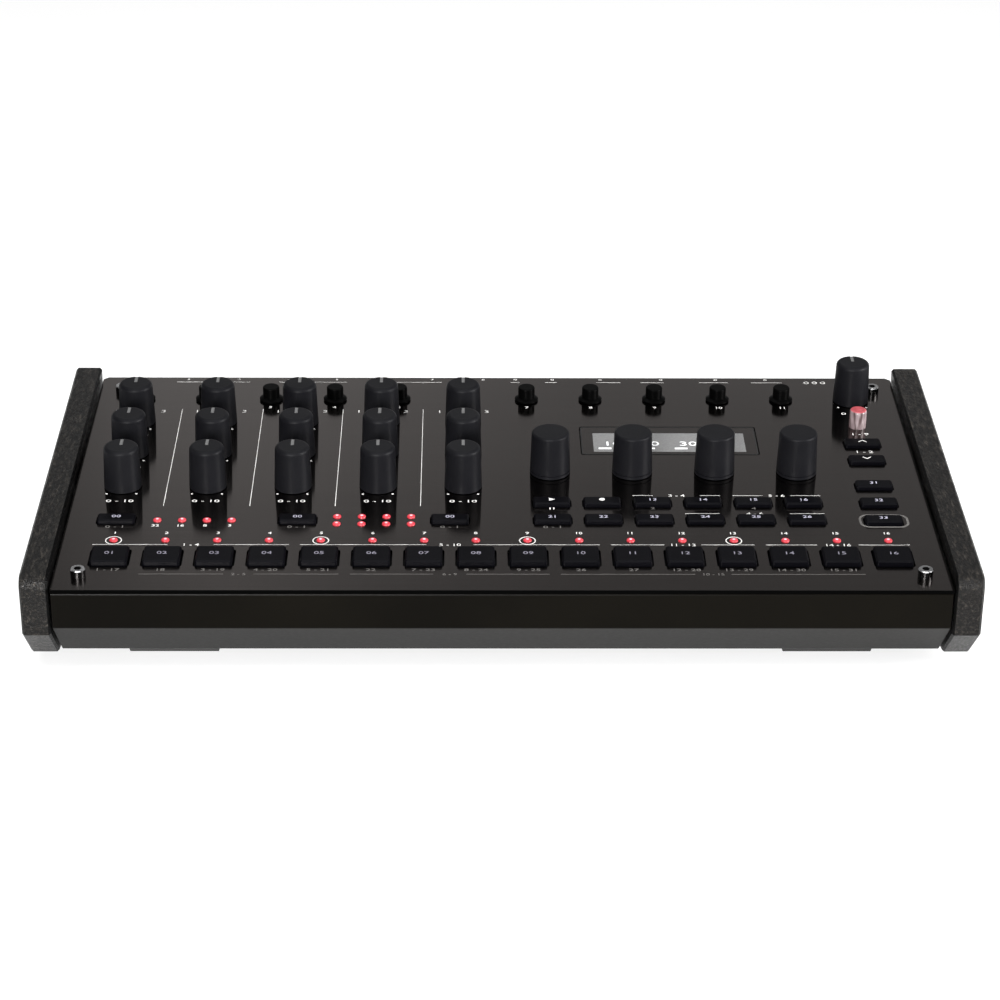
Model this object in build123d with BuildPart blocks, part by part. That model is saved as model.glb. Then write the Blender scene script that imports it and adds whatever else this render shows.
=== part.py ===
from build123d import *
import os
from math import cos, radians, sin

# Desktop drum machine: a folded steel case under a sloping brushed panel, between two wooden
# cheeks. Millimetres. +Z is up, the player sits at -Y, and the origin is the middle of the
# footprint, on the surface that the machine stands on.

os.makedirs("parts", exist_ok=True)

# ---------------------------------------------------------------- case sizes
panel_slope = 9.6  # degrees, rising to the rear
panel_side_margin = 9.56  # outer step key's column to the panel's side edge
panel_rear_margin = 20.95  # row of level knobs to the panel's rear edge
panel_thickness = 1.5
panel_corner = 2.0  # chamfer of the panel's rear corners
front_height = 36.8  # panel's front edge above the table
foot_height = 4.5

cheek_thickness = 10.4
cheek_rise = 4.7  # cheek above the panel
cheek_face = 18.8  # cheek's front face below the panel
cheek_nose_radius = 5.0
cheek_corner_radius = 1.5
cheek_edge_radius = 0.8
cheek_gap = 0.5  # panel edge to cheek

sheet = 1.5  # steel of the case
bend_radius = 1.2
case_face = 16.0  # case's front face below the panel
case_inset = 0.4  # front face behind the panel's front edge
case_side_gap = 0.8  # case wall to cheek, bridged by pressed pads
rear_inset = 0.6  # rear wall ahead of the panel's rear edge
lip_front = 8.0
lip_rear = 11.0
lip_side = 8.0
bracket_width = 11.8  # corner plates that take the panel screws
bracket_length = 8.0

fit = 0.05  # radial play of a screw or shaft in its hole
seat_gap = 0.3  # running gap between a moving piece and what it passes

# ---------------------------------------------------------------- controls on the panel
# Places on the panel are (across, along): across is X, along is measured up the slope. The whole
# layout across, the sockets at the rear included, is in columns of one step key.
column = 19.13
step_count = 16
step_along = 23.8
step_width = 13.8
step_depth = 12.0
step_rise = 2.1  # above the panel
step_edge = 0.6
step_opening_gap = 0.7
step_light_along = 37.2
keys_per_mat = 4

mode_along = 52.85  # row of the mode keys, the single keys and the short rows of lights
key_row_rise = 13.75  # from the mode keys' row up to the pattern keys' row
row_count = 6
row_centre_across = 3.51 * column
single_acrosses = (-7.533 * column, -3.989 * column, -1.004 * column)  # time, yes and no keys
side_across = 7.507 * column
side_alongs = (52.2, 66.3, 80.7, 102.0, 116.5)
small_width = 14.2
small_depth = 5.9
small_rise = 1.7
small_edge = 0.55
small_opening_gap = 0.45

key_travel = 0.8
key_draft = 4.0  # degrees
key_corner = 0.9
mat_thickness = 1.0
mat_border = 0.9
stem_radius = 1.6

sound_columns = 5
sound_rows = 3
sound_first_across = -7.554 * column
sound_first_along = 80.8
sound_pitch_across = 1.7026 * column
sound_pitch_along = 27.8
volume_across = 7.517 * column
knob_height = 17.4
knob_base_radius = 7.2
knob_top_radius = 6.6
knob_top_edge = 1.6
knob_wall = 1.4
hub_radius = 4.6
pointer_width = 1.3
pointer_depth = 0.6
pointer_length = 6.2

encoder_count = 4
encoder_pitch = 1.666 * column
encoder_centre_across = 3.513 * column
encoder_along = 93.1
encoder_height = 17.4
encoder_base_radius = 7.8
encoder_top_radius = 7.25
encoder_top_edge = 0.9
groove_height = 1.4  # ring groove near the foot of an encoder knob
groove_width = 0.4
groove_depth = 0.35

level_count = 11
level_pitch = 1.356 * column
level_centre_across = -0.753 * column
level_row_rise = 20.45  # from the rear row of sound knobs up to the level knobs
level_height = 6.0
level_radius = 3.35
level_flange_radius = 4.7
level_flange = 1.2
level_top_edge = 0.5

tempo_drop = 23.4  # from the volume knob down to the tempo knob
tempo_height = 7.4
tempo_radius = 3.4
tempo_top_edge = 0.9

shaft_radius = 3.0
slim_shaft_radius = 1.6
shaft_hole_gap = 0.8
shaft_engagement = 11.0  # shaft inside the knob
slim_engagement = 4.2

light_radius = 1.55
light_rise = 0.6
light_collar_radius = 1.9
light_edge = 0.45
bank_count = 4  # lights in each short row
bank_light_pitch = 0.4846 * column
bank_light_gap = 5.8  # between the two rows of the block
bank_light_across = -6.006 * column
block_light_across = -2.493 * column

window_rise = 26.8  # from the encoder knobs up to the window's middle
window_width = 69.5
window_depth = 24.1
window_gap = 0.45
window_corner = 0.8
glass_width = 64.0  # display glass under the window
glass_depth = 20.0
glass_thickness = 3.5
display_board_width = 76.0
display_board_depth = 29.0
display_spacer_inset = 3.0
display_spacer_radius = 2.0

screw_across = 8.019 * column
screw_front = 10.6  # from the panel's front edge
screw_rear = 13.8  # from its rear edge
screw_radius = 1.5
screw_head_radius = 2.75
screw_head_height = 3.1
screw_length = 8.0
screw_head_edge = 0.3
socket_across_flats = 2.5
socket_depth = 1.6

# ---------------------------------------------------------------- inside the case
board_thickness = 1.6
board_screw_head = 2.0
board_screw_length = 6.0
control_board_depth = 12.0  # its upper face below the panel's face
control_board_screw_gap = 4.4  # from the panel screws' axes to the board's side edges
control_board_start = 10.0
control_board_rear_gap = 11.8  # board's rear edge to the panel's
pot_width = 9.6
pot_depth = 10.6
pot_height = 6.6
bushing_radius = 4.0
slim_pot_width = 7.4
slim_bushing_radius = 2.6
switch_size = 6.0
switch_height = 3.4
stud_radius = 2.5
stud_mat_gap = 0.9  # front studs to the step keys' mats
front_stud_acrosses = (-5.018 * column, 0, 5.018 * column)
stud_acrosses = (-6.691 * column, -3.293 * column, 0, 6.743 * column)

standoff_height = 8.0
standoff_radius = 3.0
board_margin = 6.0  # standoff to the board's edge, or to the jacks
inner_standoff_acrosses = (-3.764 * column, 2.614 * column)
main_board_side_gap = 2.8
main_board_depth = 76.0
main_board_rear_gap = 3.0
jack_width = 15.5
jack_height = 13.0
jack_length = 27.0
jack_bore_radius = 3.25
jack_end_wall = 1.0
jack_nose_radius = 4.5
jack_nose = 3.4  # nose beyond the rear wall's outer face
nut_thickness = 2.2
nut_across_flats = 11.0
jack_columns = (-7.778, -6.66, -5.572, -4.506, -3.466, -2.441, -1.411, -0.314)
sync_columns = (0.376, 1.171)
sync_size = (6.6, 6.4, 12.0)
sync_bore_radius = 1.8
sync_nose_radius = 2.9
sync_nose = 1.0
din_columns = (2.185, 3.539)
din_size = (19.0, 19.0, 14.0)
din_radius = 7.4
din_bore_radius = 6.9
din_insert_radius = 5.7
din_contact_count = 5
din_contact_radius = 0.8
din_contact_circle = 3.4
din_contact_depth = 7.0
mouth_depth = 9.0
tongue_setback = 1.0
usb_host_across = 4.699 * column
usb_host_size = (13.2, 6.0, 14.0)
usb_host_mouth = (12.4, 5.2)
usb_host_tongue = (11.0, 1.8)
usb_host_tongue_rise = 1.0
usb_device_across = 5.755 * column
usb_device_size = (12.0, 11.0, 16.0)
usb_device_mouth = (8.6, 7.9)
usb_device_tongue = (5.6, 3.2)
inlet_across = 6.853 * column
inlet_size = (9.4, 11.0, 14.0)
inlet_bore_radius = 3.1
inlet_pin_radius = 1.0
power_across = 7.71 * column
power_size = (9.0, 9.0, 12.0)
power_back_wall = 2.0
power_button_corner = 0.6
power_button_edge = 0.4
power_button_size = 6.0
power_button_rise = 3.0
power_travel = 2.0
socket_wall_gap = 0.25  # play of a socket in the rear wall's cut-out

foot_centre_across = 6.377 * column
foot_width = 36.0
foot_depth = 13.0
foot_slope = 1.5  # how far each end tapers in
foot_front_gap = 9.0  # behind the front of the flat bottom
foot_rear_gap = 9.0

cheek_screw_starts = (38.0, 100.0)  # along the panel, from its front edge
cheek_screw_rear = 27.8  # from its rear edge
cheek_screw_drops = (22.0, 20.0, 28.0)  # below the panel's face
cheek_screw_radius = 1.75
cheek_screw_head_radius = 3.2
cheek_screw_head = 2.0
cheek_screw_bite = 7.0
cheek_hole_spare = 1.0  # hole beyond the screw's tip
cheek_pad_radius = 6.0

ribbon_width = 26.0
ribbon_thickness = 0.9
ribbon_across = -1.568 * column
ribbon_bow = 14.0  # how far the fold stands off the headers
ribbon_bend = 2.5
header_stagger = 2.8  # control board's header behind the main board's, up the slope
header_length = 32.0
header_depth = 8.0
header_height = 7.0

# ---------------------------------------------------------------- rows up the panel
pattern_along = mode_along + key_row_rise
level_along = sound_first_along + (sound_rows - 1) * sound_pitch_along + level_row_rise
panel_length = level_along + panel_rear_margin
volume_place = (volume_across, level_along)
tempo_place = (volume_across, level_along - tempo_drop)
window_centre = (encoder_centre_across, encoder_along + window_rise)
front_stud_along = step_along - step_depth / 2 - mat_border - stud_mat_gap - stud_radius
stud_alongs = (sound_first_along - sound_pitch_along / 2, sound_first_along + 1.5 * sound_pitch_along)

# ---------------------------------------------------------------- frame of reference
slope_cos = cos(radians(panel_slope))
slope_sin = sin(radians(panel_slope))

panel_reach = panel_length * slope_cos  # front edge to rear edge, seen from above
rear_reach = panel_reach - rear_inset + jack_nose  # front edge to the jack noses
front_y = -rear_reach / 2
rear_y = front_y + panel_reach - rear_inset  # outer face of the rear wall
panel_half_width = step_count * column / 2 + panel_side_margin
cheek_inner = panel_half_width + cheek_gap
case_half_width = cheek_inner - case_side_gap
case_inner_half = case_half_width - sheet
floor_z = foot_height + sheet  # upper side of the case's bottom

panel_plane = Plane(
    origin=(0, front_y, front_height), x_dir=(1, 0, 0), z_dir=(0, -slope_sin, slope_cos)
)
off_panel = Axis(panel_plane.origin, panel_plane.z_dir)
rear_plane = Plane(origin=(0, rear_y, 0), x_dir=(1, 0, 0), z_dir=(0, -1, 0))
board_plane = Plane.XY.offset(floor_z + standoff_height)


def side(along, above):
    """(y, z) of a point given along the panel and above its face, for profiles on Plane.YZ."""
    return (
        front_y + along * slope_cos - above * slope_sin,
        front_height + along * slope_sin + above * slope_cos,
    )


def bevel_foot(above):
    """Where a 45 degree bevel that leaves the front face at this height meets the bottom."""
    y, z = side(0, above)
    run = (z - foot_height) / (slope_cos - slope_sin)
    return (y + run * (slope_cos + slope_sin), foot_height)


def section_plane(across, along):
    """Upright plane across the panel through one control: x is across, y is off the panel."""
    centre = panel_plane.from_local_coords((across, along, 0))
    return Plane(origin=centre, x_dir=(1, 0, 0), z_dir=(0, -slope_cos, -slope_sin))


def control_axis(across, along):
    """Axis of one control, square to the panel."""
    return Axis(panel_plane.from_local_coords((across, along, 0)), panel_plane.z_dir)


# ---------------------------------------------------------------- places of repeated controls
def row(count, pitch, centre):
    """Places of a row of controls across the panel."""
    first = centre[0] - pitch * (count - 1) / 2
    return [(first + pitch * i, centre[1]) for i in range(count)]


step_places = row(step_count, column, (0, step_along))
pattern_places = row(row_count, column, (row_centre_across, pattern_along))
mode_places = row(row_count, column, (row_centre_across, mode_along))
side_places = [(side_across, along) for along in side_alongs]
single_places = [(across, mode_along) for across in single_acrosses]
small_places = single_places + pattern_places + mode_places + side_places

sound_places = [
    (sound_first_across + sound_pitch_across * place, sound_first_along + sound_pitch_along * line)
    for line in range(sound_rows)
    for place in range(sound_columns)
]
encoder_places = row(encoder_count, encoder_pitch, (encoder_centre_across, encoder_along))
level_places = row(level_count, level_pitch, (level_centre_across, level_along))
light_places = row(step_count, column, (0, step_light_along))
light_places += row(bank_count, bank_light_pitch, (bank_light_across, mode_along))
for line in (-1, 1):
    line_along = mode_along + line * bank_light_gap / 2
    light_places += row(bank_count, bank_light_pitch, (block_light_across, line_along))
screw_alongs = (screw_front, panel_length - screw_rear)
screw_places = [(across, along) for across in (-screw_across, screw_across) for along in screw_alongs]
stud_places = [(across, front_stud_along) for across in front_stud_acrosses]
stud_places += [(across, along) for across in stud_acrosses for along in stud_alongs]
jack_acrosses = [place * column for place in jack_columns]
sync_acrosses = [place * column for place in sync_columns]
din_acrosses = [place * column for place in din_columns]

# ---------------------------------------------------------------- top panel
shaft_hole_radius = shaft_radius + shaft_hole_gap
slim_hole_radius = slim_shaft_radius + shaft_hole_gap

with BuildPart() as top_panel:
    with BuildSketch(panel_plane.offset(-panel_thickness)) as panel_face:
        with Locations((0, panel_length / 2)):
            Rectangle(2 * panel_half_width, panel_length)
        rear_corners = panel_face.vertices().group_by(Axis.Y)[-1]
        chamfer(rear_corners, panel_corner)
        with Locations(step_places):
            RectangleRounded(
                step_width + 2 * step_opening_gap,
                step_depth + 2 * step_opening_gap,
                key_corner + step_opening_gap,
                mode=Mode.SUBTRACT,
            )
        with Locations(small_places):
            RectangleRounded(
                small_width + 2 * small_opening_gap,
                small_depth + 2 * small_opening_gap,
                key_corner + small_opening_gap,
                mode=Mode.SUBTRACT,
            )
        with Locations(window_centre):
            RectangleRounded(
                window_width + 2 * window_gap,
                window_depth + 2 * window_gap,
                window_corner + window_gap,
                mode=Mode.SUBTRACT,
            )
        with Locations(sound_places + encoder_places + [volume_place]):
            Circle(shaft_hole_radius, mode=Mode.SUBTRACT)
        with Locations(tempo_place):
            Circle(tempo_radius + seat_gap, mode=Mode.SUBTRACT)
        with Locations(level_places):
            Circle(slim_hole_radius, mode=Mode.SUBTRACT)
        with Locations(light_places):
            Circle(light_radius + fit, mode=Mode.SUBTRACT)
        with Locations(screw_places):
            Circle(screw_radius + fit, mode=Mode.SUBTRACT)
    extrude(amount=panel_thickness)
top_panel.part.label = "top_panel"
export_step(top_panel.part, "parts/top_panel.step")

# ---------------------------------------------------------------- case
rear_top = side((panel_reach - rear_inset - panel_thickness * slope_sin) / slope_cos, -panel_thickness)
case_outline = [
    side(case_inset, -panel_thickness),
    side(case_inset, -case_face),
    bevel_foot(-case_face - case_inset),
    (rear_y, foot_height),
    rear_top,
]
standoff_ys = (
    rear_y - main_board_rear_gap - main_board_depth + board_margin,
    rear_y - main_board_rear_gap - board_margin - jack_length,
)
main_board_half = case_inner_half - main_board_side_gap
outer_standoff = main_board_half - board_margin
standoff_acrosses = (-outer_standoff, *inner_standoff_acrosses, outer_standoff)
standoff_places = [(across, y) for across in standoff_acrosses for y in standoff_ys]
cheek_screw_alongs = (*cheek_screw_starts, panel_length - cheek_screw_rear)
cheek_screw_places = [side(along, -drop) for along, drop in zip(cheek_screw_alongs, cheek_screw_drops)]
jack_z = board_plane.origin.Z + board_thickness + jack_height / 2


def socket_z(height):
    """Height of a socket's middle when it stands on the main board."""
    return board_plane.origin.Z + board_thickness + height / 2


with BuildPart() as chassis:
    with BuildSketch(Plane.YZ) as case_profile:
        with BuildLine():
            Polyline(*case_outline, close=True)
        make_face()
        fillet(case_profile.vertices(), bend_radius)
    extrude(amount=case_half_width, both=True)
    with BuildSketch(Plane.YZ):
        with BuildLine():
            Polyline(*case_outline, close=True)
        make_face()
        offset(amount=-sheet, kind=Kind.INTERSECTION, mode=Mode.REPLACE)
    extrude(amount=case_inner_half, both=True, mode=Mode.SUBTRACT)
    # Open top inside the folded lips, with a plate left in each corner for the panel screws.
    with BuildSketch(panel_plane.offset(-panel_thickness)):
        opening_length = panel_length - lip_rear - lip_front
        with Locations((0, lip_front + opening_length / 2)):
            Rectangle(2 * (case_inner_half - lip_side), opening_length)
            with GridLocations(2 * (case_inner_half - lip_side), opening_length, 2, 2):
                Rectangle(2 * (bracket_width - lip_side), 2 * bracket_length, mode=Mode.SUBTRACT)
    extrude(amount=-2 * sheet, mode=Mode.SUBTRACT)
    with BuildSketch(panel_plane.offset(-panel_thickness)):
        with Locations(screw_places):
            Circle(screw_radius + fit)
    extrude(amount=-2 * sheet, mode=Mode.SUBTRACT)
    # Pressed pads on both ends seat the cheeks.
    for end in (-1, 1):
        with BuildSketch(Plane.YZ.offset(end * case_half_width)):
            with Locations(cheek_screw_places):
                Circle(cheek_pad_radius)
        extrude(amount=end * case_side_gap)
    with BuildSketch(Plane.YZ):
        with Locations(cheek_screw_places):
            Circle(cheek_screw_radius + fit)
    extrude(amount=cheek_inner, both=True, mode=Mode.SUBTRACT)
    # Cut-outs of the rear wall.
    with BuildSketch(rear_plane):
        with Locations([(across, jack_z) for across in jack_acrosses]):
            Circle(jack_nose_radius + socket_wall_gap)
        with Locations([(across, socket_z(sync_size[1])) for across in sync_acrosses]):
            Circle(sync_nose_radius + socket_wall_gap)
        with Locations([(across, socket_z(din_size[1])) for across in din_acrosses]):
            Circle(din_radius + socket_wall_gap)
        with Locations((usb_host_across, socket_z(usb_host_size[1]))):
            Rectangle(usb_host_size[0] + 2 * socket_wall_gap, usb_host_size[1] + 2 * socket_wall_gap)
        with Locations((usb_device_across, socket_z(usb_device_size[1]))):
            Rectangle(
                usb_device_size[0] + 2 * socket_wall_gap, usb_device_size[1] + 2 * socket_wall_gap
            )
        with Locations((inlet_across, socket_z(inlet_size[1]))):
            Rectangle(inlet_size[0] + 2 * socket_wall_gap, inlet_size[1] + 2 * socket_wall_gap)
        with Locations((power_across, socket_z(power_size[1]))):
            Rectangle(power_button_size + 2 * seat_gap, power_button_size + 2 * seat_gap)
    extrude(amount=2 * sheet, mode=Mode.SUBTRACT)
chassis.part.label = "chassis"
export_step(chassis.part, "parts/chassis.step")

# ---------------------------------------------------------------- wooden cheeks
cheek_top_rear_y = front_y + panel_reach
cheek_outline = [
    side(0, cheek_rise),
    side(0, -cheek_face),
    bevel_foot(-cheek_face),
    (cheek_top_rear_y, foot_height),
    side((panel_reach + cheek_rise * slope_sin) / slope_cos, cheek_rise),
]


def cheek(end):
    """One wooden end cheek; end is -1 on the left and 1 on the right."""
    with BuildPart() as wood:
        with BuildSketch(Plane.YZ.offset(end * cheek_inner)) as cheek_profile:
            with BuildLine():
                Polyline(*cheek_outline, close=True)
            make_face()
            nose = cheek_profile.vertices().sort_by_distance((*side(0, cheek_rise), 0))[0]
            fillet(nose, cheek_nose_radius)
            fillet(cheek_profile.vertices().group_by(Axis.X)[-1], cheek_corner_radius)
        extrude(amount=end * cheek_thickness)
        outer_face = wood.faces().sort_by(Axis.X)[-1 if end > 0 else 0]
        inner_face = wood.faces().sort_by(Axis.X)[0 if end > 0 else -1]
        chamfer(outer_face.edges() + inner_face.edges(), cheek_edge_radius)
        with BuildSketch(Plane.YZ.offset(end * cheek_inner)):
            with Locations(cheek_screw_places):
                Circle(cheek_screw_radius + fit)
        extrude(amount=end * (cheek_screw_bite + cheek_hole_spare), mode=Mode.SUBTRACT)
    return wood


left_cheek = cheek(-1)
left_cheek.part.label = "left_cheek"
export_step(left_cheek.part, "parts/left_cheek.step")
right_cheek = cheek(1)
right_cheek.part.label = "right_cheek"
export_step(right_cheek.part, "parts/right_cheek.step")

# ---------------------------------------------------------------- panel screws
with BuildPart() as panel_screws:
    with BuildSketch(panel_plane):
        with Locations(screw_places):
            Circle(screw_head_radius)
    extrude(amount=screw_head_height)
    chamfer(panel_screws.edges().filter_by(GeomType.CIRCLE).group_by(off_panel)[-1], screw_head_edge)
    with BuildSketch(panel_plane):
        with Locations(screw_places):
            Circle(screw_radius)
    extrude(amount=-screw_length)
    with BuildSketch(panel_plane.offset(screw_head_height)):
        with Locations(screw_places):
            RegularPolygon(socket_across_flats / 2, 6, major_radius=False)
    extrude(amount=-socket_depth, mode=Mode.SUBTRACT)
panel_screws.part.label = "panel_screws"
export_step(panel_screws.part, "parts/panel_screws.step")

# ---------------------------------------------------------------- display
with BuildPart() as display_window:
    with BuildSketch(panel_plane.offset(-panel_thickness)):
        with Locations(window_centre):
            RectangleRounded(window_width, window_depth, window_corner)
    extrude(amount=panel_thickness)
display_window.part.label = "display_window"
export_step(display_window.part, "parts/display_window.step")

display_board_depth_below = panel_thickness + glass_thickness + board_thickness
with BuildPart() as display_module:
    with BuildSketch(panel_plane.offset(-panel_thickness - glass_thickness)):
        with Locations(window_centre):
            Rectangle(glass_width, glass_depth)
    extrude(amount=glass_thickness)
    with BuildSketch(panel_plane.offset(-display_board_depth_below)):
        with Locations(window_centre):
            Rectangle(display_board_width, display_board_depth)
    extrude(amount=board_thickness)
    with BuildSketch(panel_plane.offset(-control_board_depth)):
        with Locations(window_centre):
            spacer_span = display_board_width - 2 * display_spacer_inset
            spacer_rise = display_board_depth - 2 * display_spacer_inset
            with GridLocations(spacer_span, spacer_rise, 2, 2):
                Circle(display_spacer_radius)
    extrude(amount=control_board_depth - display_board_depth_below)
display_module.part.label = "display_module"
export_step(display_module.part, "parts/display_module.step")

# ---------------------------------------------------------------- indicator lights
with BuildPart() as indicator_leds:
    with BuildSketch(panel_plane.offset(-control_board_depth)):
        with Locations(light_places):
            Circle(light_collar_radius)
    extrude(amount=control_board_depth - panel_thickness - seat_gap)
    with BuildSketch(panel_plane.offset(-panel_thickness - seat_gap)):
        with Locations(light_places):
            Circle(light_radius)
    extrude(amount=panel_thickness + seat_gap + light_rise)
    fillet(indicator_leds.edges().filter_by(GeomType.CIRCLE).group_by(off_panel)[-1], light_edge)
indicator_leds.part.label = "indicator_leds"
export_step(indicator_leds.part, "parts/indicator_leds.step")

# ---------------------------------------------------------------- control board
board_top_z = board_plane.origin.Z + board_thickness
board_rear_y = rear_y - main_board_rear_gap
main_header_y = board_rear_y - main_board_depth + header_depth
header_along = (main_header_y - front_y) / slope_cos + header_stagger
control_board_half = screw_across - control_board_screw_gap
control_board_end = panel_length - control_board_rear_gap
with BuildPart() as control_board:
    with BuildSketch(panel_plane.offset(-control_board_depth - board_thickness)):
        with Locations((0, (control_board_start + control_board_end) / 2)):
            Rectangle(2 * control_board_half, control_board_end - control_board_start)
        with Locations(stud_places):
            Circle(screw_radius + fit, mode=Mode.SUBTRACT)
    extrude(amount=board_thickness)
    with BuildSketch(panel_plane.offset(-control_board_depth - board_thickness)):
        with Locations((ribbon_across, header_along)):
            Rectangle(header_length, header_depth)
    extrude(amount=-header_height)
control_board.part.label = "control_board"
export_step(control_board.part, "parts/control_board.step")

with BuildPart() as rotary_controls:
    full_places = sound_places + encoder_places + [volume_place, tempo_place]
    with BuildSketch(panel_plane.offset(-control_board_depth)):
        with Locations(full_places):
            Rectangle(pot_width, pot_depth)
        with Locations(level_places):
            Rectangle(slim_pot_width, pot_depth)
    extrude(amount=pot_height)
    with BuildSketch(panel_plane.offset(-control_board_depth + pot_height)):
        with Locations(full_places):
            Circle(bushing_radius)
        with Locations(level_places):
            Circle(slim_bushing_radius)
    extrude(amount=control_board_depth - pot_height - panel_thickness - seat_gap)
    with BuildSketch(panel_plane):
        with Locations(full_places):
            Circle(shaft_radius + seat_gap)
        with Locations(level_places):
            Circle(slim_shaft_radius + seat_gap)
    extrude(amount=-(control_board_depth - pot_height / 2), mode=Mode.SUBTRACT)
rotary_controls.part.label = "rotary_controls"
export_step(rotary_controls.part, "parts/rotary_controls.step")

with BuildPart() as key_switches:
    with BuildSketch(panel_plane.offset(-control_board_depth)):
        with Locations(step_places + small_places):
            Rectangle(switch_size, switch_size)
    extrude(amount=switch_height)
key_switches.part.label = "key_switches"
export_step(key_switches.part, "parts/key_switches.step")

# ---------------------------------------------------------------- main board and sockets
with BuildPart() as main_board:
    with BuildSketch(board_plane):
        with Locations((0, board_rear_y - main_board_depth / 2)):
            Rectangle(2 * main_board_half, main_board_depth)
        with Locations(standoff_places):
            Circle(screw_radius + fit, mode=Mode.SUBTRACT)
    extrude(amount=board_thickness)
    with BuildSketch(Plane.XY.offset(board_top_z)):
        with Locations((ribbon_across, main_header_y)):
            Rectangle(header_length, header_depth)
    extrude(amount=header_height)
main_board.part.label = "main_board"
export_step(main_board.part, "parts/main_board.step")

with BuildPart() as audio_jacks:
    jack_places = [(across, jack_z) for across in jack_acrosses]
    with BuildSketch(rear_plane.offset(sheet)):
        with Locations(jack_places):
            Rectangle(jack_width, jack_height)
    extrude(amount=jack_length)
    with BuildSketch(rear_plane.offset(-jack_nose)):
        with Locations(jack_places):
            Circle(jack_nose_radius)
    extrude(amount=jack_nose + sheet)
    with BuildSketch(rear_plane.offset(-jack_nose)):
        with Locations(jack_places):
            Circle(jack_bore_radius)
    extrude(amount=jack_nose + sheet + jack_length - jack_end_wall, mode=Mode.SUBTRACT)
audio_jacks.part.label = "audio_jacks"
export_step(audio_jacks.part, "parts/audio_jacks.step")


def socket_block(place, size, setback):
    """Body of one data socket, standing on the main board; setback is behind the rear face."""
    with BuildSketch(rear_plane.offset(setback)) as block_face:
        with Locations(place):
            Rectangle(size[0], size[1])
    extrude(block_face.sketch, amount=size[2])


def socket_cut(place, width, height, depth):
    """Rectangular mouth of a socket that is flush with the rear face."""
    with BuildSketch(rear_plane) as mouth:
        with Locations(place):
            Rectangle(width, height)
    extrude(mouth.sketch, amount=depth, mode=Mode.SUBTRACT)


def socket_tongue(place, width, height, depth):
    """Contact tongue that stands in a socket's mouth."""
    with BuildSketch(rear_plane.offset(tongue_setback)) as tongue_face:
        with Locations(place):
            Rectangle(width, height)
    extrude(tongue_face.sketch, amount=depth)


with BuildPart() as data_sockets:
    for across in sync_acrosses:
        place = (across, socket_z(sync_size[1]))
        socket_block(place, sync_size, sheet)
        with BuildSketch(rear_plane.offset(-sync_nose)):
            with Locations(place):
                Circle(sync_nose_radius)
        extrude(amount=sync_nose + sheet)
        with BuildSketch(rear_plane.offset(-sync_nose)):
            with Locations(place):
                Circle(sync_bore_radius)
        extrude(amount=sync_nose + sheet + sync_size[2], mode=Mode.SUBTRACT)
    for across in din_acrosses:
        place = (across, socket_z(din_size[1]))
        socket_block(place, din_size, sheet)
        with BuildSketch(rear_plane):
            with Locations(place):
                Circle(din_radius)
        extrude(amount=sheet)
        with BuildSketch(rear_plane):
            with Locations(place):
                Circle(din_bore_radius)
        extrude(amount=mouth_depth, mode=Mode.SUBTRACT)
        # Round insert, seated in the bore, with five contacts on a half circle.
        with BuildSketch(rear_plane):
            with Locations(place):
                Circle(din_insert_radius)
                with PolarLocations(din_contact_circle, din_contact_count, 180, 180, endpoint=True):
                    Circle(din_contact_radius, mode=Mode.SUBTRACT)
        extrude(amount=din_contact_depth)
        with BuildSketch(rear_plane.offset(din_contact_depth)):
            with Locations(place):
                Circle(din_insert_radius)
        extrude(amount=mouth_depth - din_contact_depth - fit)
    host_place = (usb_host_across, socket_z(usb_host_size[1]))
    socket_block(host_place, usb_host_size, 0)
    socket_cut(host_place, *usb_host_mouth, mouth_depth)
    socket_tongue((host_place[0], host_place[1] + usb_host_tongue_rise), *usb_host_tongue, mouth_depth)
    device_place = (usb_device_across, socket_z(usb_device_size[1]))
    socket_block(device_place, usb_device_size, 0)
    socket_cut(device_place, *usb_device_mouth, mouth_depth)
    socket_tongue(device_place, *usb_device_tongue, mouth_depth)
    inlet_place = (inlet_across, socket_z(inlet_size[1]))
    socket_block(inlet_place, inlet_size, 0)
    with BuildSketch(rear_plane):
        with Locations(inlet_place):
            Circle(inlet_bore_radius)
    extrude(amount=mouth_depth, mode=Mode.SUBTRACT)
    with BuildSketch(rear_plane.offset(tongue_setback)):
        with Locations(inlet_place):
            Circle(inlet_pin_radius)
    extrude(amount=mouth_depth - tongue_setback - fit)
    # Housing of the power button, set back so that the button can travel.
    power_place = (power_across, socket_z(power_size[1]))
    socket_block(power_place, power_size, sheet)
    with BuildSketch(rear_plane.offset(sheet)):
        with Locations(power_place):
            Rectangle(power_button_size + 2 * seat_gap, power_button_size + 2 * seat_gap)
    extrude(amount=power_size[2] - power_back_wall, mode=Mode.SUBTRACT)
data_sockets.part.label = "data_sockets"
export_step(data_sockets.part, "parts/data_sockets.step")

with BuildPart() as power_button:
    with BuildSketch(rear_plane.offset(-power_button_rise)):
        with Locations(power_place):
            RectangleRounded(power_button_size, power_button_size, power_button_corner)
    housing_depth = sheet + power_size[2] - power_back_wall
    extrude(amount=power_button_rise + housing_depth - power_travel - seat_gap)
    chamfer(power_button.faces().sort_by(Axis.Y)[-1].edges(), power_button_edge)
power_button.part.label = "power_button"
export_step(power_button.part, "parts/power_button.step")

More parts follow.
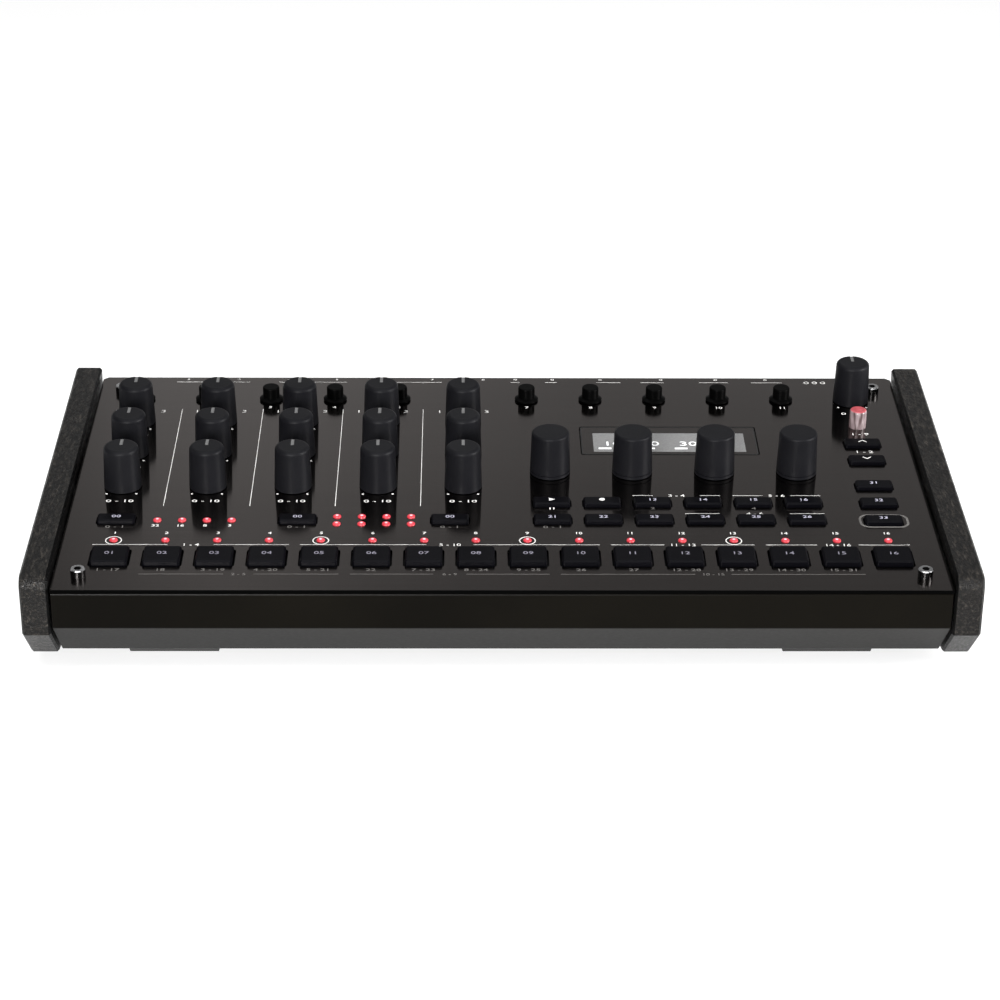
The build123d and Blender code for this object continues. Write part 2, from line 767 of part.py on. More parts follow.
# Flat cable from the control board down to the main board.
upper_ribbon = -control_board_depth - board_thickness - header_height - ribbon_thickness / 2
lower_ribbon_z = board_top_z + header_height + ribbon_thickness / 2
ribbon_route = [
    side(header_along, upper_ribbon),
    side(header_along - ribbon_bow, upper_ribbon),
    (main_header_y - ribbon_bow, lower_ribbon_z),
    (main_header_y, lower_ribbon_z),
]
with BuildPart() as ribbon_cable:
    with BuildSketch(Plane.YZ.offset(ribbon_across - ribbon_width / 2)):
        with BuildLine():
            FilletPolyline(*ribbon_route, radius=ribbon_bend)
        trace(line_width=ribbon_thickness)
    extrude(amount=ribbon_width)
ribbon_cable.part.label = "ribbon_cable"
export_step(ribbon_cable.part, "parts/ribbon_cable.step")

# ---------------------------------------------------------------- hidden fasteners
with BuildPart() as case_fasteners:
    # Studs from the panel down to the control board, and standoffs under the main board.
    with BuildSketch(panel_plane.offset(-panel_thickness)):
        with Locations(stud_places):
            Circle(stud_radius)
            Circle(screw_radius + fit, mode=Mode.SUBTRACT)
    extrude(amount=-(control_board_depth - panel_thickness))
    with BuildSketch(Plane.XY.offset(floor_z)):
        with Locations(standoff_places):
            Circle(standoff_radius)
            Circle(screw_radius + fit, mode=Mode.SUBTRACT)
    extrude(amount=standoff_height)
    # Nuts on the jack noses.
    with BuildSketch(rear_plane):
        with Locations(jack_places):
            RegularPolygon(nut_across_flats / 2, 6, major_radius=False)
            Circle(jack_nose_radius + fit, mode=Mode.SUBTRACT)
    extrude(amount=-nut_thickness)
    # Screws through the case's ends into the cheeks.
    for end in (-1, 1):
        with BuildSketch(Plane.YZ.offset(end * case_inner_half)):
            with Locations(cheek_screw_places):
                Circle(cheek_screw_head_radius)
        extrude(amount=-end * cheek_screw_head)
        with BuildSketch(Plane.YZ.offset(end * case_inner_half)):
            with Locations(cheek_screw_places):
                Circle(cheek_screw_radius)
        extrude(amount=end * (sheet + case_side_gap + cheek_screw_bite))
    # Main board screws.
    with BuildSketch(Plane.XY.offset(board_top_z)):
        with Locations(standoff_places):
            Circle(screw_head_radius)
    extrude(amount=board_screw_head)
    with BuildSketch(Plane.XY.offset(board_top_z)):
        with Locations(standoff_places):
            Circle(screw_radius)
    extrude(amount=-board_screw_length)
    # Control board screws, from below into the panel's studs.
    with BuildSketch(panel_plane.offset(-control_board_depth - board_thickness)):
        with Locations(stud_places):
            Circle(screw_head_radius)
    extrude(amount=-board_screw_head)
    with BuildSketch(panel_plane.offset(-control_board_depth - board_thickness)):
        with Locations(stud_places):
            Circle(screw_radius)
    extrude(amount=board_screw_length)
case_fasteners.part.label = "case_fasteners"
export_step(case_fasteners.part, "parts/case_fasteners.step")

# ---------------------------------------------------------------- rubber feet
foot_front_y = case_outline[2][0] + foot_front_gap
foot_ys = (foot_front_y + foot_depth / 2, rear_y - foot_rear_gap - foot_depth / 2)
with BuildPart() as rubber_feet:
    for y in foot_ys:
        for across in (-foot_centre_across, foot_centre_across):
            with BuildSketch(Plane.XZ.offset(-y - foot_depth / 2)):
                with BuildLine():
                    Polyline(
                        (across - foot_width / 2, foot_height),
                        (across + foot_width / 2, foot_height),
                        (across + foot_width / 2 - foot_slope, 0),
                        (across - foot_width / 2 + foot_slope, 0),
                        close=True,
                    )
                make_face()
            extrude(amount=foot_depth)
rubber_feet.part.label = "rubber_feet"
export_step(rubber_feet.part, "parts/rubber_feet.step")


# ---------------------------------------------------------------- keys
def key_mat(name, places, width, depth, rise, edge):
    """Keys moulded on one mat that moves under the panel, with a stem over each switch."""
    acrosses = [place[0] for place in places]
    alongs = [place[1] for place in places]
    mat_centre = ((min(acrosses) + max(acrosses)) / 2, (min(alongs) + max(alongs)) / 2)
    mat_top = panel_thickness + seat_gap
    stem_bottom = control_board_depth - switch_height - key_travel - seat_gap
    with BuildPart() as mat:
        with BuildSketch(panel_plane.offset(-mat_top - mat_thickness)):
            with Locations(mat_centre):
                Rectangle(
                    max(acrosses) - min(acrosses) + width + 2 * mat_border,
                    max(alongs) - min(alongs) + depth + 2 * mat_border,
                )
        extrude(amount=mat_thickness)
        with BuildSketch(panel_plane.offset(-mat_top)):
            with Locations(places):
                RectangleRounded(width, depth, key_corner)
        extrude(amount=mat_top + seat_gap)
        with BuildSketch(panel_plane.offset(seat_gap)):
            with Locations(places):
                RectangleRounded(width, depth, key_corner)
        extrude(amount=rise - seat_gap, taper=key_draft)
        with BuildSketch(panel_plane.offset(-mat_top - mat_thickness)):
            with Locations(places):
                Circle(stem_radius)
        extrude(amount=-(stem_bottom - mat_top - mat_thickness))
        key_tops = mat.faces().filter_by(panel_plane).group_by(off_panel)[-1]
        chamfer([line for face in key_tops for line in face.edges()], edge)
    mat.part.label = name
    export_step(mat.part, f"parts/{name}.step")
    return mat


for first in range(0, step_count, keys_per_mat):
    mat_name = f"step_keys_{first + 1}_{first + keys_per_mat}"
    mat_places = step_places[first:first + keys_per_mat]
    key_mat(mat_name, mat_places, step_width, step_depth, step_rise, step_edge)
small_key = (small_width, small_depth, small_rise, small_edge)
for mat_name, place in zip(("time_key", "yes_key", "no_key"), single_places):
    key_mat(mat_name, [place], *small_key)
key_mat("pattern_keys", pattern_places, *small_key)
key_mat("mode_keys", mode_places, *small_key)
key_mat("side_keys", side_places, *small_key)


# ---------------------------------------------------------------- knobs
def shaft_bottom():
    """Lower end of every shaft, inside its control's body."""
    return -(control_board_depth - pot_height / 2) + seat_gap


def large_knob(name, place, height, base_radius, top_radius, top_edge, pointer):
    """Hollow moulded knob with a hub, on its control's shaft; pointer adds the line's groove."""
    roof = height - 2 * knob_wall
    slant = (base_radius - top_radius) / (height - seat_gap)
    with BuildPart() as knob:
        with BuildSketch(section_plane(*place)) as knob_section:
            with BuildLine():
                Polyline(
                    (0, seat_gap), (base_radius, seat_gap), (top_radius, height), (0, height), close=True
                )
            make_face()
            rim = knob_section.vertices().sort_by_distance((top_radius, height, 0))[0]
            fillet(rim, top_edge)
            with BuildLine():
                Polyline(
                    (hub_radius, seat_gap),
                    (base_radius - knob_wall, seat_gap),
                    (base_radius - knob_wall - slant * (roof - seat_gap), roof),
                    (hub_radius, roof),
                    close=True,
                )
            make_face(mode=Mode.SUBTRACT)
            with BuildLine():
                Polyline(
                    (0, seat_gap),
                    (shaft_radius + fit, seat_gap),
                    (shaft_radius + fit, seat_gap + shaft_engagement),
                    (0, seat_gap + shaft_engagement),
                    close=True,
                )
            make_face(mode=Mode.SUBTRACT)
            if not pointer:
                with BuildLine():
                    Polyline(
                        (base_radius - groove_depth, groove_height),
                        (base_radius, groove_height),
                        (base_radius, groove_height + groove_width),
                        (base_radius - groove_depth, groove_height + groove_width),
                        close=True,
                    )
                make_face(mode=Mode.SUBTRACT)
        revolve(axis=control_axis(*place))
        if pointer:
            with BuildSketch(panel_plane.offset(height)):
                with Locations((place[0], place[1] + top_radius - pointer_length / 2)):
                    Rectangle(pointer_width, pointer_length)
            extrude(amount=-pointer_depth, mode=Mode.SUBTRACT)
        with BuildSketch(panel_plane.offset(shaft_bottom())):
            with Locations(place):
                Circle(shaft_radius)
        extrude(amount=shaft_engagement - shaft_bottom())
    knob.part.label = name
    export_step(knob.part, f"parts/{name}.step")
    return knob


def level_knob(name, place):
    """Slim knob with a flange at its foot, on a slim shaft."""
    with BuildPart() as knob:
        with BuildSketch(section_plane(*place)) as knob_section:
            with BuildLine():
                Polyline(
                    (slim_shaft_radius + fit, seat_gap),
                    (level_flange_radius, seat_gap),
                    (level_flange_radius, seat_gap + level_flange / 2),
                    (level_radius, seat_gap + level_flange),
                    (level_radius, level_height),
                    (0, level_height),
                    (0, seat_gap + slim_engagement),
                    (slim_shaft_radius + fit, seat_gap + slim_engagement),
                    close=True,
                )
            make_face()
            rim = knob_section.vertices().sort_by_distance((level_radius, level_height, 0))[0]
            fillet(rim, level_top_edge)
        revolve(axis=control_axis(*place))
        with BuildSketch(panel_plane.offset(shaft_bottom())):
            with Locations(place):
                Circle(slim_shaft_radius)
        extrude(amount=slim_engagement - shaft_bottom())
    knob.part.label = name
    export_step(knob.part, f"parts/{name}.step")
    return knob


sound_knob = (knob_height, knob_base_radius, knob_top_radius, knob_top_edge, True)
encoder_knob = (encoder_height, encoder_base_radius, encoder_top_radius, encoder_top_edge, False)
for index, place in enumerate(sound_places):
    sound_name = f"sound_knob_{index // sound_columns + 1}_{index % sound_columns + 1}"
    large_knob(sound_name, place, *sound_knob)
large_knob("volume_knob", volume_place, *sound_knob)
for index, place in enumerate(encoder_places):
    large_knob(f"encoder_knob_{index + 1}", place, *encoder_knob)
for index, place in enumerate(level_places):
    level_knob(f"level_knob_{index + 1}", place)

# Tempo knob: one clear moulding, lit from below, that is its own shaft.
with BuildPart() as tempo_knob:
    with BuildSketch(section_plane(*tempo_place)) as tempo_section:
        with BuildLine():
            Polyline(
                (0, shaft_bottom()),
                (shaft_radius, shaft_bottom()),
                (shaft_radius, -panel_thickness - seat_gap),
                (tempo_radius, -panel_thickness - seat_gap),
                (tempo_radius, tempo_height),
                (0, tempo_height),
                close=True,
            )
        make_face()
        tempo_rim = tempo_section.vertices().sort_by_distance((tempo_radius, tempo_height, 0))[0]
        fillet(tempo_rim, tempo_top_edge)
    revolve(axis=control_axis(*tempo_place))
tempo_knob.part.label = "tempo_knob"
export_step(tempo_knob.part, "parts/tempo_knob.step")
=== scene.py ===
from math import cos, pi, radians, sin

import bpy
from mathutils import Matrix, Vector


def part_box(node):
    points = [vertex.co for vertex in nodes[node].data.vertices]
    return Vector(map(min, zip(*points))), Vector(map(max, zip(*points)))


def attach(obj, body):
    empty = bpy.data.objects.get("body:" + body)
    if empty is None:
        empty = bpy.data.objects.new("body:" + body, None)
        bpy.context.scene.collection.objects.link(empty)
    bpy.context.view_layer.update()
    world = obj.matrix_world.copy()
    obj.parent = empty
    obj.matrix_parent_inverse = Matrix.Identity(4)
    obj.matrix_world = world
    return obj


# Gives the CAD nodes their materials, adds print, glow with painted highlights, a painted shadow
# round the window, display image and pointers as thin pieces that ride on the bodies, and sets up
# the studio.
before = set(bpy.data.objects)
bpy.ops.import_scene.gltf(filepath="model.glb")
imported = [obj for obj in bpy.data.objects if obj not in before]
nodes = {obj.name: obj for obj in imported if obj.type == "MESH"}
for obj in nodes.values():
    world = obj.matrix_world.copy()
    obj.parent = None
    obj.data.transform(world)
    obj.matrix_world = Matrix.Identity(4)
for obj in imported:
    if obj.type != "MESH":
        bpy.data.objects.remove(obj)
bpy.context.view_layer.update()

# ---------------------------------------------------------------- panel frame
# Marks and inlays are given in millimetres on the panel: across is X, along is up the slope from
# the front edge, and lift is off the face.
MM = 0.001
PANEL_SLOPE = radians(9.6)
PANEL_THICKNESS = 1.5
OFF_PANEL = (0, -sin(PANEL_SLOPE), cos(PANEL_SLOPE))
SLOPE_TURN = (-PANEL_SLOPE, 0, 0)  # turns noise to run along the slope

panel_low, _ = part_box("top_panel")
front_y = panel_low.y / MM
front_z = panel_low.z / MM + PANEL_THICKNESS * cos(PANEL_SLOPE)
panel_matrix = (
    Matrix.Translation((0, front_y * MM, front_z * MM))
    @ Matrix.Rotation(PANEL_SLOPE, 4, "X")
    @ Matrix.Scale(MM, 4)
)


def row(count, pitch, centre):
    """Places of a row of controls across the panel."""
    first = centre[0] - pitch * (count - 1) / 2
    return [(first + pitch * i, centre[1]) for i in range(count)]


# ---------------------------------------------------------------- shader nodes
MIX_FACTOR, MIX_DARK, MIX_LIGHT, MIX_RESULT = 0, 6, 7, 2  # sockets of a Mix node that mixes colours
MOTTLE = (0.3, 0.7)  # values of a noise at which a colour is at its darkest and lightest
# Black of the wood's pores, and of the cheeks' inner sides as painted shade.
PORE_AND_SHADE_BLACK = (0.001, 0.001, 0.001)


def set_input(tree, socket, value):
    """Gives a socket a constant, or links a node's output to it."""
    if isinstance(value, bpy.types.NodeSocket):
        tree.links.new(value, socket)
    elif socket.type == "RGBA":
        socket.default_value = (*value, 1)
    else:
        socket.default_value = value


def fill(tree, node, **values):
    """Sets a node's inputs by name, with _ for a space."""
    for name, value in values.items():
        set_input(tree, node.inputs[name.replace("_", " ")], value)


def add_node(tree, kind, **values):
    """New node with its inputs set."""
    node = tree.nodes.new(kind)
    fill(tree, node, **values)
    return node


def calculate(tree, operation, *terms):
    """Result of a Math node on numbers and other nodes' outputs."""
    node = tree.nodes.new("ShaderNodeMath")
    node.operation = operation
    for socket, term in zip(node.inputs, terms):
        set_input(tree, socket, term)
    return node.outputs["Value"]


def map_range(tree, value, source=(0, 1), target=(0, 1)):
    """Node that takes a value from the source range to the target range and holds it there."""
    return add_node(tree, "ShaderNodeMapRange", Value=value, From_Min=source[0],
                    From_Max=source[1], To_Min=target[0], To_Max=target[1])


def mix_values(tree, low, high, factor):
    """Value that runs from low to high with a factor."""
    return map_range(tree, factor, target=(low, high)).outputs["Result"]


def step_up(tree, value, low, high):
    """Factor that rises smoothly from 0 to 1 as a value goes from low to high."""
    rise = map_range(tree, value, source=(low, high))
    rise.interpolation_type = "SMOOTHSTEP"
    return rise.outputs["Result"]


def grain(tree, scale, detail, stretch=(1, 1, 1), turn=(0, 0, 0), distortion=0.0):
    """Noise in the object's own space; stretch multiplies the frequency along each axis."""
    place = add_node(tree, "ShaderNodeTexCoord")
    mapping = add_node(tree, "ShaderNodeMapping", Vector=place.outputs["Object"],
                       Rotation=turn, Scale=stretch)
    noise = add_node(tree, "ShaderNodeTexNoise", Vector=mapping.outputs["Vector"],
                     Scale=scale, Detail=detail, Distortion=distortion)
    return noise.outputs["Fac"]


def colour_ramp(tree, factor, stops):
    """Colour from a factor; stops are (position, colour)."""
    ramp = add_node(tree, "ShaderNodeValToRGB", Fac=factor)
    elements = ramp.color_ramp.elements
    for element, (position, colour) in zip(elements, stops):
        element.position = position
        element.color = (*colour, 1)
    for position, colour in stops[2:]:
        element = elements.new(position)
        element.color = (*colour, 1)
    return ramp.outputs["Color"]


def two_tone(tree, factor, dark, light, ends=MOTTLE):
    """Colour that runs from dark to light as a factor goes from end to end."""
    return colour_ramp(tree, factor, ((ends[0], dark), (ends[1], light)))


def blend(tree, factor, dark, light):
    """Mix of two colours, each a constant or a node's output."""
    mix = tree.nodes.new("ShaderNodeMix")
    mix.data_type = "RGBA"
    for socket, value in ((MIX_FACTOR, factor), (MIX_DARK, dark), (MIX_LIGHT, light)):
        set_input(tree, mix.inputs[socket], value)
    return mix.outputs[MIX_RESULT]


def lean(tree, direction):
    """How far a face looks along a direction, from -1 to 1."""
    facing = add_node(tree, "ShaderNodeNewGeometry")
    product = tree.nodes.new("ShaderNodeVectorMath")
    product.operation = "DOT_PRODUCT"
    set_input(tree, product.inputs[0], facing.outputs["Normal"])
    set_input(tree, product.inputs[1], direction)
    return product.outputs["Value"]


def add_bump(tree, shader, height, strength, distance):
    """Fine relief from a height output, with its distance in millimetres."""
    bump = add_node(tree, "ShaderNodeBump", Height=height, Strength=strength,
                    Distance=distance * MM)
    fill(tree, shader, Normal=bump.outputs["Normal"])


# ---------------------------------------------------------------- materials
def grey(tone):
    """Neutral colour."""
    return (tone, tone, tone)


def scaled(colour, share):
    """A share of a colour."""
    return tuple(share * c for c in colour)


def material(name, **sockets):
    """New node material; sockets are the shader's own constant values."""
    made = bpy.data.materials.new(name)
    made.use_nodes = True
    shader = made.node_tree.nodes["Principled BSDF"]
    fill(made.node_tree, shader, **sockets)
    return made, made.node_tree, shader


def textured(name, dark, light, roughness, mottle=60.0, texture=900.0, strength=0.4, relief=0.02,
             **sockets):
    """Moulded plastic, rubber or powder coat: faint mottling, and an even fine texture."""
    made, tree, shader = material(name, **sockets)
    cloud = grain(tree, scale=mottle, detail=3.0)
    fine = grain(tree, scale=texture, detail=2.0)
    fill(tree, shader, Base_Color=two_tone(tree, cloud, dark, light),
         Roughness=mix_values(tree, *roughness, fine))
    add_bump(tree, shader, fine, strength, relief)
    return made


def brushed_metal(name, dark, light, roughness):
    """Brushed sheet with hairlines along X, which spread what it reflects up and down the slope;
    faces that don't look off the panel, its edges, are painted black as shade.
    """
    hair_share = 0.75
    face_lean = (0.5, 0.8)
    made, tree, shader = material(name, Metallic=1.0, Anisotropic=0.97)
    hair = grain(tree, scale=3.0, detail=6.0, stretch=(4, 900, 900), turn=SLOPE_TURN)
    cloud = grain(tree, scale=14.0, detail=2.0, stretch=(0.4, 1, 1))
    rest = calculate(tree, "MULTIPLY", cloud, 1 - hair_share)
    both = calculate(tree, "MULTIPLY_ADD", hair, hair_share, rest)
    face = two_tone(tree, both, dark, light, ends=(0.25, 0.75))
    # Painted shade: the sheet's edges, faces that don't look off the panel, are black.
    level = step_up(tree, lean(tree, OFF_PANEL), *face_lean)
    up_slope = add_node(tree, "ShaderNodeCombineXYZ", Y=cos(PANEL_SLOPE), Z=sin(PANEL_SLOPE))
    fill(tree, shader, Base_Color=blend(tree, level, grey(0.002), face),
         Roughness=mix_values(tree, *roughness, hair), Tangent=up_slope.outputs["Vector"])
    add_bump(tree, shader, hair, strength=0.3, distance=0.002)
    return made


STAIN = (
    (0.38, (0.001, 0.0008, 0.0007)), (0.5, (0.004, 0.0033, 0.0027)),
    (0.6, (0.011, 0.0095, 0.008)), (0.74, (0.036, 0.031, 0.026)),
)


def stained_wood(name):
    """Black stained open-grain wood with pores along the cheek; its inner side is black as painted
    shade.
    """
    pore_edge = (0.38, 0.46)
    inner_side = (-0.12, -0.06)
    made, tree, shader = material(name)
    streak = grain(tree, scale=130.0, detail=6.0, stretch=(7, 1, 7), turn=SLOPE_TURN,
                   distortion=0.3)
    pores = grain(tree, scale=420.0, detail=3.0, stretch=(4, 0.6, 4), turn=SLOPE_TURN,
                  distortion=0.3)
    stain = colour_ramp(tree, streak, STAIN)
    between_pores = step_up(tree, pores, *pore_edge)
    # A face's place across times its lean across is well below zero only where it looks inwards.
    place = add_node(tree, "ShaderNodeTexCoord")
    split = add_node(tree, "ShaderNodeSeparateXYZ", Vector=place.outputs["Object"])
    outward = calculate(tree, "MULTIPLY", split.outputs["X"], lean(tree, (1, 0, 0)))
    # Painted shade: faces that look inwards, towards the panel, are black and less glossy.
    unshaded_face = step_up(tree, outward, *inner_side)
    wood_tone = blend(tree, between_pores, PORE_AND_SHADE_BLACK, stain)
    fill(tree, shader, Base_Color=blend(tree, unshaded_face, PORE_AND_SHADE_BLACK, wood_tone),
         Specular_IOR_Level=mix_values(tree, 0.04, 0.16, unshaded_face),
         Roughness=mix_values(tree, 0.5, 0.2, streak))
    add_bump(tree, shader, pores, strength=1.0, distance=0.35)
    return made


def printed(name, dark, light, roughness=0.5):
    """Screen-printed ink with faint unevenness."""
    made, tree, shader = material(name, Roughness=roughness)
    speck = grain(tree, scale=1500.0, detail=2.0)
    fill(tree, shader, Base_Color=two_tone(tree, speck, dark, light))
    return made


def plated_metal(name, dark, light, side=1.0):
    """Plated steel, faintly cloudy; side darkens the faces that don't look off the panel, as
    painted shade, so the top stays lighter.
    """
    face_lean = (0.3, 0.7)
    made, tree, shader = material(name, Metallic=1.0)
    cloud = grain(tree, scale=400.0, detail=3.0)
    tone = two_tone(tree, cloud, dark, light)
    edge = two_tone(tree, cloud, scaled(dark, side), scaled(light, side))
    level = step_up(tree, lean(tree, OFF_PANEL), *face_lean)
    fill(tree, shader, Base_Color=blend(tree, level, edge, tone),
         Roughness=mix_values(tree, 0.18, 0.3, cloud))
    return made


# Glow of the lit lens, with painted light: brightest where it faces off the panel as a highlight,
# deep red round the edge as shade.
LENS_GLOW_HIGHLIGHT_AND_SHADE = ((0.3, (0.05, 0.0, 0.005)), (0.85, (0.4, 0.01, 0.03)), (1.0, (0.58, 0.04, 0.08)))


def lamp_lens(name):
    """Red lens, lit from inside, with a painted highlight where it faces off the panel and painted
    shade, deep red, round the edge.
    """
    made, tree, shader = material(name, Roughness=0.3, Emission_Strength=0.3)
    cloud = grain(tree, scale=500.0, detail=2.0)
    fill(tree, shader, Base_Color=two_tone(tree, cloud, (0.35, 0.02, 0.03), (0.45, 0.03, 0.04)),
         Emission_Color=colour_ramp(tree, lean(tree, OFF_PANEL), LENS_GLOW_HIGHLIGHT_AND_SHADE))
    return made


def lit_knob(name):
    """Translucent ribbed knob, lit red from below: red top, pale sides with upright streaks."""
    rib = (0.35, 0.65)
    top_lean = (0.5, 0.9)
    made, tree, shader = material(name, Roughness=0.25, Emission_Strength=1.0)
    ribs = grain(tree, scale=120.0, detail=2.0, stretch=(6, 6, 0.4), turn=SLOPE_TURN)
    top = step_up(tree, lean(tree, OFF_PANEL), *top_lean)
    sides = two_tone(tree, ribs, (0.06, 0.042, 0.042), (0.22, 0.18, 0.185), ends=rib)
    crown = two_tone(tree, ribs, (0.20, 0.035, 0.04), (0.28, 0.06, 0.07))
    side_glow = two_tone(tree, ribs, (0.015, 0.006, 0.007), (0.06, 0.03, 0.033), ends=rib)
    crown_glow = two_tone(tree, ribs, (0.12, 0.01, 0.015), (0.2, 0.03, 0.035))
    fill(tree, shader, Base_Color=blend(tree, top, sides, crown),
         Emission_Color=blend(tree, top, side_glow, crown_glow))
    return made


def glowing(name, dark, light, glow, strength):
    """Diffused plastic lit from inside, with a slightly cloudy glow."""
    made, tree, shader = material(name, Roughness=0.3, Emission_Strength=strength)
    cloud = grain(tree, scale=500.0, detail=2.0)
    fill(tree, shader, Base_Color=two_tone(tree, cloud, dark, light),
         Emission_Color=two_tone(tree, cloud, scaled(glow, 0.8), glow, ends=(0.2, 0.8)))
    return made


PANEL_TONE = ((0.088, 0.078, 0.075), (0.120, 0.107, 0.101))
panel_metal = brushed_metal("brushed_panel", *PANEL_TONE, (0.08, 0.10))
window_face = brushed_metal("window_face", *PANEL_TONE, (0.09, 0.11))
case_coat = textured("case_coat", (0.0012, 0.0009, 0.0004), (0.0024, 0.0019, 0.001), (0.3, 0.4),
                     mottle=20.0, texture=700.0, strength=0.35, relief=0.015,
                     Specular_IOR_Level=0.05)
wood = stained_wood("stained_wood")
knob_plastic = textured("knob_plastic", (0.0035, 0.0035, 0.0045), (0.0055, 0.0055, 0.0065),
                        (0.42, 0.5), Specular_IOR_Level=0.07)
level_plastic = textured("level_plastic", grey(0.0008), grey(0.0012), (0.3, 0.4),
                         Specular_IOR_Level=0.02)
key_plastic = textured("key_plastic", (0.001, 0.001, 0.0016), (0.0018, 0.0017, 0.0025),
                       (0.3, 0.4), Specular_IOR_Level=0.035)
socket_plastic = textured("socket_plastic", grey(0.006), grey(0.010), (0.3, 0.4))
rubber = textured("foot_rubber", grey(0.008), (0.014, 0.014, 0.013), (0.6, 0.75), relief=0.05)
board = textured("board", (0.010, 0.045, 0.022), (0.016, 0.060, 0.030), (0.35, 0.45))
module_black = textured("module_black", grey(0.003), grey(0.005), (0.4, 0.5),
                        Specular_IOR_Level=0.1)
ribbon = textured("ribbon", grey(0.25), grey(0.32), (0.4, 0.5))
# Screw heads: lighter on top, and darkened sides as painted shade.
black_chrome = plated_metal("black_chrome", (0.4, 0.4, 0.405), (0.52, 0.52, 0.525), side=0.14)
nickel = plated_metal("nickel", (0.5, 0.48, 0.45), (0.62, 0.6, 0.56))
red_light = lamp_lens("red_light")
tempo_plastic = lit_knob("tempo_plastic")
pale_ink = printed("pale_ink", (0.66, 0.65, 0.63), (0.78, 0.77, 0.75))
dim_ink = printed("dim_ink", (0.085, 0.08, 0.075), (0.11, 0.105, 0.10))
key_ink = printed("key_ink", (0.15, 0.145, 0.18), (0.20, 0.19, 0.235))
small_key_ink = printed("small_key_ink", (0.33, 0.325, 0.40), (0.42, 0.41, 0.50))
pointer_ink = printed("pointer_ink", grey(0.08), grey(0.115))
shadow_ink = printed("shadow_ink", grey(0.001), grey(0.0015), roughness=0.7)
# Pale glow on each lamp, a little up the slope: the lit lamp's glow with a painted highlight.
glow_highlight_ink = glowing("lamp_glow_highlight", (0.5, 0.3, 0.34), (0.6, 0.4, 0.44),
                   glow=(0.85, 0.58, 0.68), strength=0.45)
lcd_back = printed("lcd_back", grey(0.15), grey(0.19), roughness=0.15)
lcd_pixel = glowing("lcd_pixel", grey(0.8), grey(0.9), glow=(0.95, 0.96, 1.0), strength=0.3)

node_materials = {
    "top_panel": panel_metal, "chassis": case_coat, "left_cheek": wood, "right_cheek": wood,
    "panel_screws": black_chrome, "display_window": window_face, "display_module": module_black,
    "indicator_leds": red_light, "control_board": board, "rotary_controls": nickel,
    "key_switches": socket_plastic, "main_board": board, "audio_jacks": socket_plastic,
    "data_sockets": socket_plastic, "power_button": key_plastic, "ribbon_cable": ribbon,
    "case_fasteners": nickel, "rubber_feet": rubber, "tempo_knob": tempo_plastic,
}
for node_name, node in nodes.items():
    if node_name in node_materials:
        surface = node_materials[node_name]
    elif node_name.startswith("level_knob"):
        surface = level_plastic
    elif "knob" in node_name:
        surface = knob_plastic
    else:
        surface = key_plastic
    node.data.materials.clear()
    node.data.materials.append(surface)


# ---------------------------------------------------------------- flat marks
LETTER_RATIO = 0.72  # capital height of the built-in font at size 1
LETTER_STEPS = 3
INK_THICKNESS = 0.03
INK_LIFT = 0.02


def full_turn(steps):
    """Directions round a circle."""
    return [(cos(2 * pi * i / steps), sin(2 * pi * i / steps)) for i in range(steps)]


